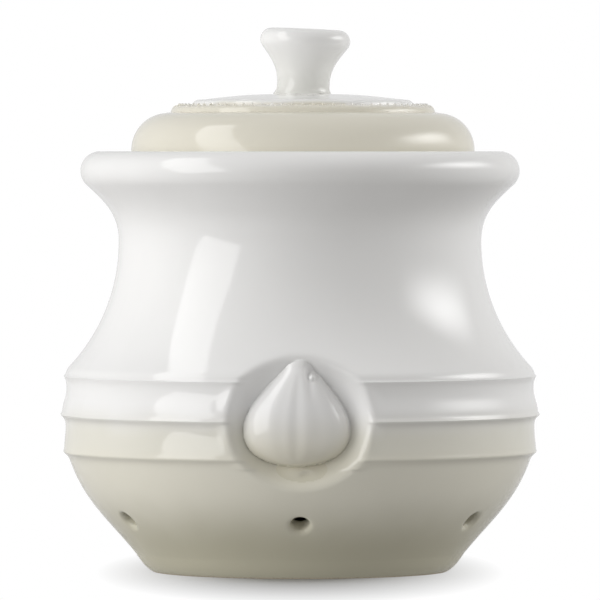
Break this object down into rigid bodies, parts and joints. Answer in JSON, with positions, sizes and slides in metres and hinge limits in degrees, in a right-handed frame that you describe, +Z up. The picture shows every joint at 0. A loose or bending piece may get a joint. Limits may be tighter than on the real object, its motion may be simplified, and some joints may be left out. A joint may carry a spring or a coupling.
{
  "type": "garlic keeper",
  "caption": "Pot-bellied stoneware jar with a rolled rim, raised bands, a garlic relief and low vents, and a loose stepped lid with a flared knob.",
  "frame": {"origin": "on the table, under the middle of the jar", "axes": "+Z up along the jar's axis, -Y towards the front with the garlic relief, +X to the right seen from the front"},
  "size_m": [0.127, 0.127, 0.145],
  "materials": {
    "jar_glaze": "gloss white glaze that turns cream below the upper band",
    "relief_glaze": "gloss white to cream glaze",
    "lid_glaze": "gloss cream glaze",
    "knob_glaze": "gloss white glaze"
  },
  "bodies": {
    "jar": {"jar": "jar_glaze", "garlic_relief": "relief_glaze"},
    "lid": {"lid": "lid_glaze", "knob": "knob_glaze"}
  },
  "joints": [
    {"name": "lid_lift", "type": "slide", "parent": "jar", "child": "lid", "axis": [0, 0, 1], "range_m": [0, 0.06]}
  ]
}
